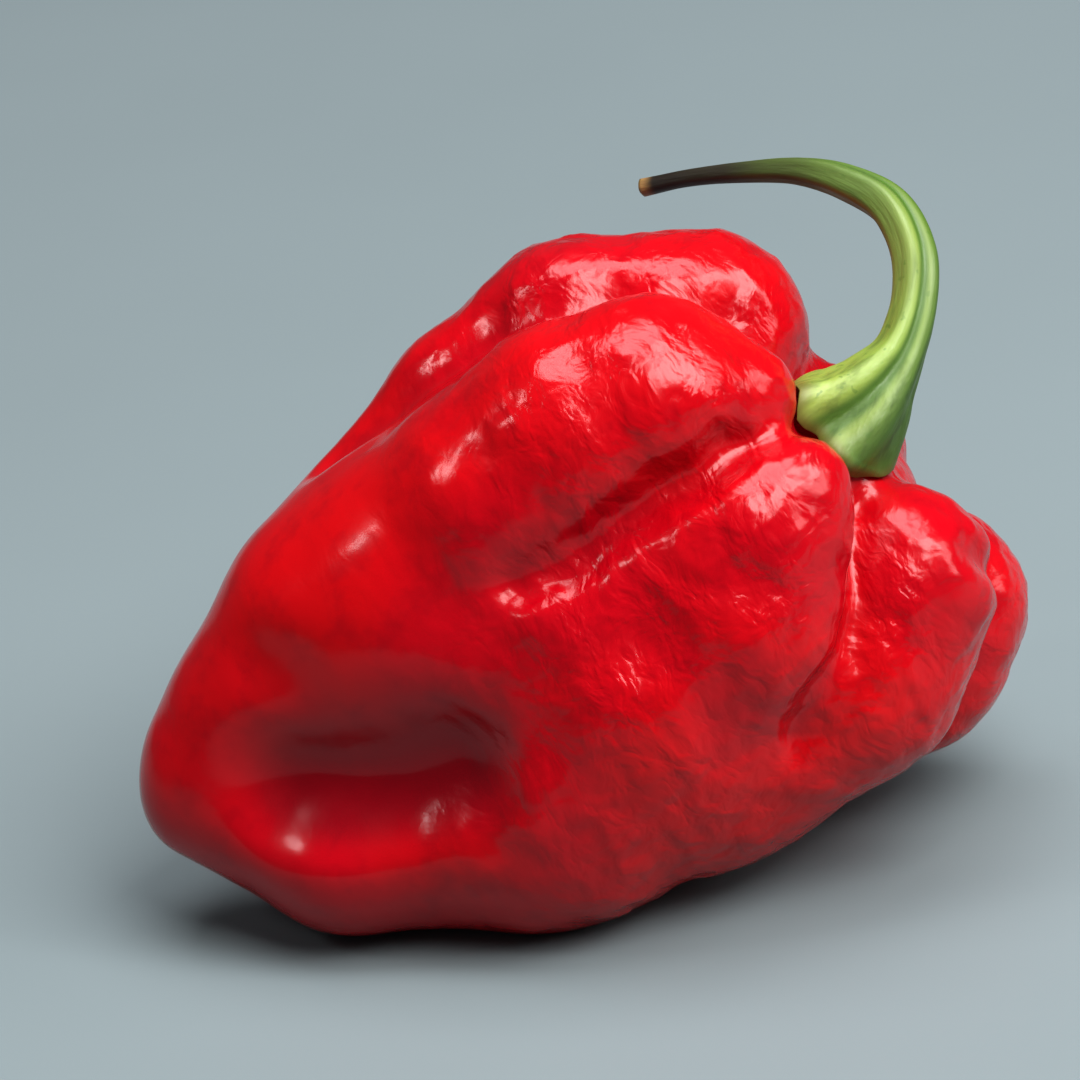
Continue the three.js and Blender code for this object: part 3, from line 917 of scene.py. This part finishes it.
def stem_tree():
    """Geometry nodes that wrap a ribbed tube with one deep furrow round the stem's middle line."""
    net, wires, identifiers = geometry_net(
        "Ribbed stem",
        {
            "Rings": "Int", "Sides": "Int", "Length": "Float", "Ribs": "Int", "Rib height": "Float",
            "Furrow depth": "Float", "Furrow width": "Float", "Furrow start": "Float",
            "Furrow end": "Float", "Furrow turn": "Float", "Grain height": "Float", "Seed": "Int",
            "Material": "Material",
        },
    )
    tube = net.node(
        "GeometryNodeMeshCylinder", {"fill_type": "TRIANGLE_FAN"},
        {
            "Vertices": wires["Sides"], "Side Segments": wires["Rings"], "Fill Segments": 6,
            "Radius": 1.0, "Depth": 1.0,
        },
    )
    x, y, z = net.split(net.out(net.node("GeometryNodeInputPosition")))
    angle = net.math("ARCTAN2", y, x)
    reach = net.math("SQRT", x * x + y * y)
    ring = z + 0.5
    distance = (ring * RING_EVENNESS + ring * ring * (1.0 - RING_EVENNESS)) * wires["Length"]
    curve_radius = net.out(net.node("GeometryNodeInputRadius"))
    sample = net.node(
        "GeometryNodeSampleCurve", {"mode": "LENGTH", "data_type": "FLOAT", "use_all_curves": True},
        {"Curves": wires["Geometry"], "Value": curve_radius, "Length": distance},
    )
    radius = net.out(sample, "Value")
    centre = net.out(sample, "Position")
    tangent = net.vector("NORMALIZE", net.out(sample, "Tangent"))
    lean = net.dot(STEM_SIDE, tangent)
    first = net.vector("NORMALIZE", net.vector("SUBTRACT", STEM_SIDE, net.scale(tangent, lean)))
    second = net.vector("CROSS_PRODUCT", tangent, first)
    turned = net.ramp(distance, 0.0, wires["Furrow turn"])
    furrow = wires["Furrow start"] + (wires["Furrow end"] - wires["Furrow start"]) * turned
    turn = net.math("ARCTAN2", net.math("SINE", angle - furrow), net.math("COSINE", angle - furrow))
    fade = 1.0 - distance / wires["Length"] * 0.65
    cut = net.math("EXPONENT", -((turn / wires["Furrow width"]) ** 2.0)) * wires["Furrow depth"]
    rib = -(net.math("COSINE", turn * wires["Ribs"]) * wires["Rib height"]) - cut
    circle_x = net.math("COSINE", angle)
    circle_y = net.math("SINE", angle)
    grain = net.join(circle_x * radius, circle_y * radius, distance * 0.12 + wires["Seed"] * 0.1)
    bumps = (net.noise(grain, STEM_GRAIN, 3.0, 0.6) - 0.5) * wires["Grain height"] * reach
    out = radius * (1.0 + rib * fade) * reach + bumps
    place = net.vector("ADD", centre, net.scale(first, circle_x * out))
    place = net.vector("ADD", place, net.scale(second, circle_y * out))
    geometry = net.out(tube, "Mesh")
    for label, kind, value in (
        ("along", "FLOAT", distance / wires["Length"]),
        ("rib", "FLOAT", rib * fade),
        ("grain", "FLOAT_VECTOR", grain),
        ("side", "FLOAT", net.math("COSINE", turn - 1.9)),
        ("spot", "FLOAT_VECTOR", net.join(ring, angle, reach)),
    ):
        store = net.node(
            "GeometryNodeStoreNamedAttribute", {"data_type": kind, "domain": "POINT"},
            {"Geometry": geometry, "Name": label, "Value": value},
        )
        geometry = net.out(store)
    placed = net.node("GeometryNodeSetPosition", inputs={"Geometry": geometry, "Position": place})
    smooth = net.node("GeometryNodeSetShadeSmooth", inputs={"Geometry": net.out(placed)})
    close_geometry(net, net.out(smooth), wires["Material"])
    return net.tree, identifiers


class PEPPER_OT_stem(bpy.types.Operator):
    """Makes the calyx and stem along the stem's middle line"""

    bl_idname = "pepper.stem"
    bl_label = "Calyx and stem"

    def execute(self, context):
        settings = context.scene.pepper_stem
        curve, length = stem_curve()
        guide = link("stem_guide", curve)
        tree, identifiers = stem_tree()
        values = {
            "Rings": STEM_RINGS, "Sides": STEM_SIDES, "Length": length, "Ribs": settings.ribs,
            "Rib height": settings.rib_height, "Furrow depth": settings.furrow_depth,
            "Furrow width": settings.furrow_width, "Furrow start": settings.furrow_start,
            "Furrow end": settings.furrow_end, "Furrow turn": settings.furrow_turn,
            "Grain height": settings.grain_height, "Seed": STEM_SEED, "Material": stem_material(settings),
        }
        use_tree(guide, tree, identifiers, values)
        stem = apply_nodes(guide, "calyx_and_stem")
        stem.data.attributes.new("rim", "FLOAT", "POINT")
        trim_to_pod(stem.data, STEM_RINGS, STEM_SIDES, STEM_GAP)
        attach(stem, "root")
        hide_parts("stem")
        return {"FINISHED"}


def area_light(name, place, size, power, colour):
    """A soft rectangular light turned towards the pepper."""
    light = bpy.data.lights.new(name, "AREA")
    light.shape = "RECTANGLE"
    light.size, light.size_y = size
    light.energy = power
    light.color = colour
    turn = (Vector(LIT_SPOT) - Vector(place)).to_track_quat("-Z", "Y").to_matrix().to_4x4()
    link(name, light).matrix_world = Matrix.Translation(place) @ turn


def make_camera(settings):
    """The camera, at its distance from the middle of the picture, with the picture's tilt."""
    camera = bpy.data.cameras.new("camera")
    camera.sensor_width = 36.0
    camera.lens = settings.camera_lens
    camera.clip_start = 0.01
    camera.clip_end = 20.0
    elevation, roll = settings.camera_elevation, settings.camera_roll
    back = Vector((0, -math.cos(elevation), math.sin(elevation)))
    level = Vector((1, 0, 0))
    upright = Vector((0, math.sin(elevation), math.cos(elevation)))
    right = math.cos(roll) * level - math.sin(roll) * upright
    up = math.sin(roll) * level + math.cos(roll) * upright
    place = Vector(PICTURE_MIDDLE) + back * settings.camera_distance
    obj = link("camera", camera)
    obj.matrix_world = Matrix.Translation(place) @ Matrix((right, up, back)).transposed().to_4x4()
    return obj


class PEPPER_OT_stage(bpy.types.Operator):
    """Makes the floor, the studio light and the camera"""

    bl_idname = "pepper.stage"
    bl_label = "Floor, light and camera"

    def execute(self, context):
        settings = context.scene.pepper_stage
        corners = np.array([(-1, -1, 0), (1, -1, 0), (1, 1, 0), (-1, 1, 0)], float) * FLOOR_REACH
        floor = link("floor", new_mesh("floor", corners, np.array([[0, 1, 2, 3]])))
        floor.data.materials.append(floor_material(settings.floor_colour))
        for name, light in LIGHTS.items():
            area_light(name, *light)
        world = bpy.data.worlds.new("studio")
        world.use_nodes = True
        background = world.node_tree.nodes["Background"]
        background.inputs["Color"].default_value = SKY_COLOUR
        background.inputs["Strength"].default_value = SKY_STRENGTH
        context.scene.world = world
        context.scene.camera = make_camera(settings)
        context.scene.view_settings.view_transform = "Standard"
        context.scene.view_settings.look = "None"
        context.scene.view_settings.gamma = PICTURE_GAMMA
        return {"FINISHED"}


class PEPPER_PT_panel(bpy.types.Panel):
    """Lists the pepper's settings and its operators"""

    bl_label = "Chilli pepper"
    bl_idname = "PEPPER_PT_panel"
    bl_space_type = "VIEW_3D"
    bl_region_type = "UI"
    bl_category = "Pepper"

    def draw(self, context):
        for group, operator in (
            (context.scene.pepper_pod, PEPPER_OT_pod.bl_idname),
            (context.scene.pepper_stem, PEPPER_OT_stem.bl_idname),
            (context.scene.pepper_stage, PEPPER_OT_stage.bl_idname),
        ):
            box = self.layout.box()
            for name in group.__annotations__:
                box.prop(group, name)
            box.operator(operator)


SETTINGS = {
    "pepper_pod": PepperPodSettings,
    "pepper_stem": PepperStemSettings,
    "pepper_stage": PepperStageSettings,
}
CLASSES = (*SETTINGS.values(), PEPPER_OT_pod, PEPPER_OT_stem, PEPPER_OT_stage, PEPPER_PT_panel)


def register():
    for cls in CLASSES:
        bpy.utils.register_class(cls)
    for name, cls in SETTINGS.items():
        setattr(bpy.types.Scene, name, bpy.props.PointerProperty(type=cls))


def unregister():
    for name in SETTINGS:
        delattr(bpy.types.Scene, name)
    for cls in reversed(CLASSES):
        bpy.utils.unregister_class(cls)


def main():
    register()
    bpy.ops.pepper.pod()
    bpy.ops.pepper.stem()
    bpy.ops.pepper.stage()


if __name__ == "__main__":
    main()
